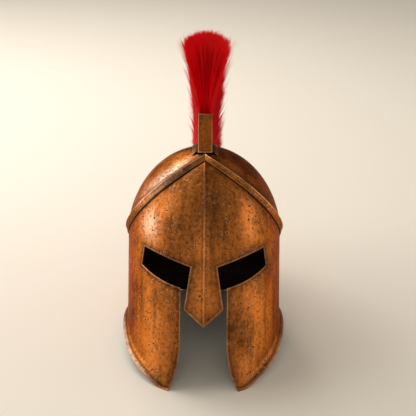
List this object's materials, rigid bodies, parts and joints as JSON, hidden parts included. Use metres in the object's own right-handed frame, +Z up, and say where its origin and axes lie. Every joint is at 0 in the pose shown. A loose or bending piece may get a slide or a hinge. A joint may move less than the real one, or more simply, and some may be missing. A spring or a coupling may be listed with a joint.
{
  "type": "greek bronze helmet with a hair plume",
  "caption": "Antiqued bronze helmet of the ancient Greek kind: domed skull with folded brow ridge, face mask with cheek plates and nasal, and a red hair plume in a crest channel.",
  "frame": {"origin": "on the table, under the middle of the whole helmet as it rests on its cheek tips and the hem of its neck guard", "axes": "+Z up, the face looks along -Y and a little upwards, +X towards the wearer's left"},
  "size_m": [0.2158, 0.4278, 0.3911],
  "materials": {
    "bronze": "antiqued copper-brown, satin",
    "channel_bronze": "dark antiqued, brushed",
    "red_hair": "dyed bristle hair"
  },
  "bodies": {
    "root": {"skull_cap": "bronze", "face_mask": "bronze", "crest_holder": "channel_bronze", "plume": "red_hair"}
  },
  "joints": []
}
